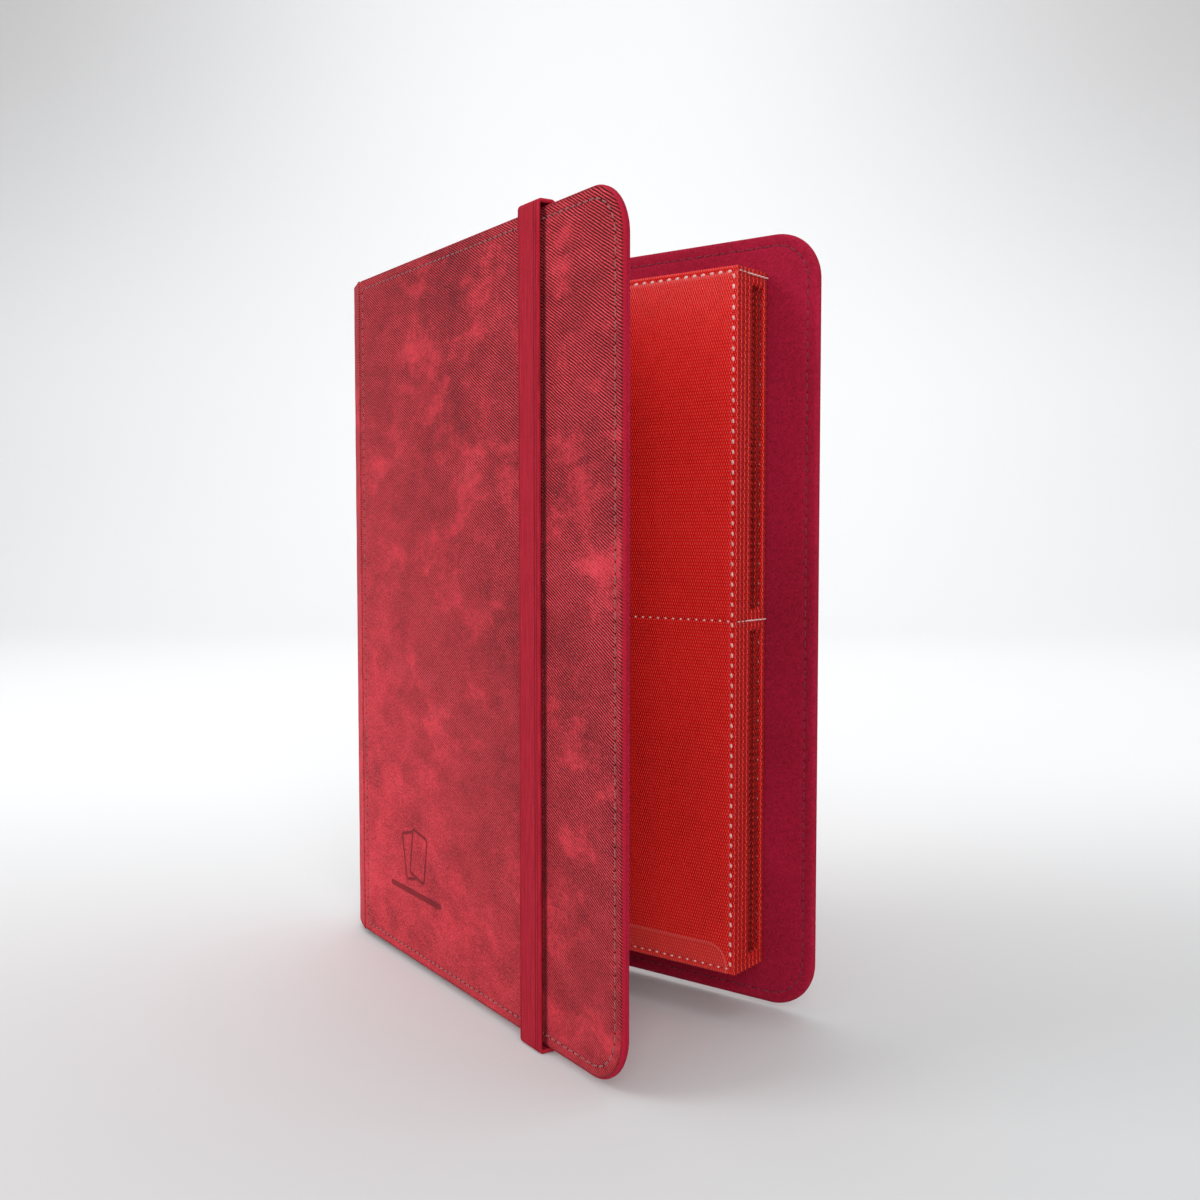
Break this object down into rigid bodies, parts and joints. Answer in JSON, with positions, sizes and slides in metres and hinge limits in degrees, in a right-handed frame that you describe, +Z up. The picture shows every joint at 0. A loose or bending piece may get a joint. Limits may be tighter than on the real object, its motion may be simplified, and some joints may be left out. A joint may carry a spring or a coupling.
{
  "type": "trading card binder",
  "caption": "Half-open stitched album with two stiff covers on leather hinges, a block of turning card-pocket leaves and an elastic closing band.",
  "frame": {"origin": "centre of the bounding box's base, on the surface that the binder stands on", "axes": "+X from the spine towards the fore edge of the back cover, +Y out of the back cover's outer face, +Z up along the spine"},
  "size_m": [0.178, 0.0828, 0.2338],
  "materials": {
    "cover_leather": "suede-like imitation leather, brushed, matt",
    "cover_lining": "crimson microfibre, matt",
    "cover_board": "plain grey board",
    "cover_thread": "dull polyester thread",
    "elastic": "ribbed elastic webbing",
    "page_fabric": "woven bright red backing",
    "page_film": "clear textured pocket film",
    "page_thread": "pale thread",
    "binding_cloth": "crimson binding cloth",
    "binding_cord": "undyed cotton cord"
  },
  "bodies": {
    "back_cover": {"back_cover_board": "cover_board", "back_cover_leather": "cover_leather", "back_cover_lining": "cover_lining", "back_cover_needle_thread": "cover_thread", "back_cover_bobbin_thread": "cover_thread", "binding_tape": "binding_cloth", "binding_sleeve": "binding_cloth", "binding_cord": "binding_cord"},
    "spine": {"spine_board": "cover_board", "spine_leather": "cover_leather", "spine_lining": "cover_lining", "front_hinge_leather": "cover_leather", "front_hinge_lining": "cover_lining", "back_hinge_leather": "cover_leather", "back_hinge_lining": "cover_lining"},
    "front_cover": {"front_cover_board": "cover_board", "front_cover_leather": "cover_leather", "front_cover_lining": "cover_lining", "front_cover_needle_thread": "cover_thread", "front_cover_bobbin_thread": "cover_thread", "band_top_tail": "elastic", "band_bottom_tail": "elastic"},
    "elastic_band": {"band_strip": "elastic", "band_top_return": "elastic", "band_bottom_return": "elastic"},
    "leaf_01": {"leaf_01_backing": "page_fabric", "leaf_01_front_film": "page_film", "leaf_01_back_film": "page_film", "leaf_01_seam_thread": "page_thread"},
    "leaf_02": {"leaf_02_backing": "page_fabric", "leaf_02_front_film": "page_film", "leaf_02_back_film": "page_film", "leaf_02_seam_thread": "page_thread"},
    "leaf_03": {"leaf_03_backing": "page_fabric", "leaf_03_front_film": "page_film", "leaf_03_back_film": "page_film", "leaf_03_seam_thread": "page_thread"},
    "leaf_04": {"leaf_04_backing": "page_fabric", "leaf_04_front_film": "page_film", "leaf_04_back_film": "page_film", "leaf_04_seam_thread": "page_thread"},
    "leaf_05": {"leaf_05_backing": "page_fabric", "leaf_05_front_film": "page_film", "leaf_05_back_film": "page_film", "leaf_05_seam_thread": "page_thread"},
    "leaf_06": {"leaf_06_backing": "page_fabric", "leaf_06_front_film": "page_film", "leaf_06_back_film": "page_film", "leaf_06_seam_thread": "page_thread"},
    "leaf_07": {"leaf_07_backing": "page_fabric", "leaf_07_front_film": "page_film", "leaf_07_back_film": "page_film", "leaf_07_seam_thread": "page_thread"},
    "leaf_08": {"leaf_08_backing": "page_fabric", "leaf_08_front_film": "page_film", "leaf_08_back_film": "page_film", "leaf_08_seam_thread": "page_thread"}
  },
  "joints": [
    {"name": "spine_hinge", "type": "hinge", "parent": "back_cover", "child": "spine", "pos_m": [-0.0862, 0.03832, 0], "axis": [0, 0, -1], "range_deg": [0, 90], "deforming": ["back_hinge_leather", "back_hinge_lining"]},
    {"name": "front_cover_hinge", "type": "hinge", "parent": "spine", "child": "front_cover", "pos_m": [-0.0862, 0.01902, 0], "axis": [0, 0, -1], "range_deg": [-19.3, 70.7], "deforming": ["front_hinge_leather", "front_hinge_lining"]},
    {"name": "band_stretch", "type": "slide", "parent": "front_cover", "child": "elastic_band", "axis": [-0.3306, -0.9438, 0], "range_m": [0, 0.03], "stiffness_N_per_m": 60, "deforming": ["band_top_return", "band_bottom_return"]},
    {"name": "leaf_08_turn", "type": "hinge", "parent": "back_cover", "child": "leaf_08", "pos_m": [-0.076, 0.02957, 0], "axis": [0, 0, -1], "range_deg": [0, 20]},
    {"name": "leaf_07_turn", "type": "hinge", "parent": "leaf_08", "child": "leaf_07", "pos_m": [-0.076, 0.02957, 0], "axis": [0, 0, -1], "range_deg": [0, 20]},
    {"name": "leaf_06_turn", "type": "hinge", "parent": "leaf_07", "child": "leaf_06", "pos_m": [-0.076, 0.02957, 0], "axis": [0, 0, -1], "range_deg": [0, 20]},
    {"name": "leaf_05_turn", "type": "hinge", "parent": "leaf_06", "child": "leaf_05", "pos_m": [-0.076, 0.02957, 0], "axis": [0, 0, -1], "range_deg": [0, 20]},
    {"name": "leaf_04_turn", "type": "hinge", "parent": "leaf_05", "child": "leaf_04", "pos_m": [-0.076, 0.02957, 0], "axis": [0, 0, -1], "range_deg": [0, 20]},
    {"name": "leaf_03_turn", "type": "hinge", "parent": "leaf_04", "child": "leaf_03", "pos_m": [-0.076, 0.02957, 0], "axis": [0, 0, -1], "range_deg": [0, 20]},
    {"name": "leaf_02_turn", "type": "hinge", "parent": "leaf_03", "child": "leaf_02", "pos_m": [-0.076, 0.02957, 0], "axis": [0, 0, -1], "range_deg": [0, 20]},
    {"name": "leaf_01_turn", "type": "hinge", "parent": "leaf_02", "child": "leaf_01", "pos_m": [-0.076, 0.02957, 0], "axis": [0, 0, -1], "range_deg": [0, 20]}
  ]
}
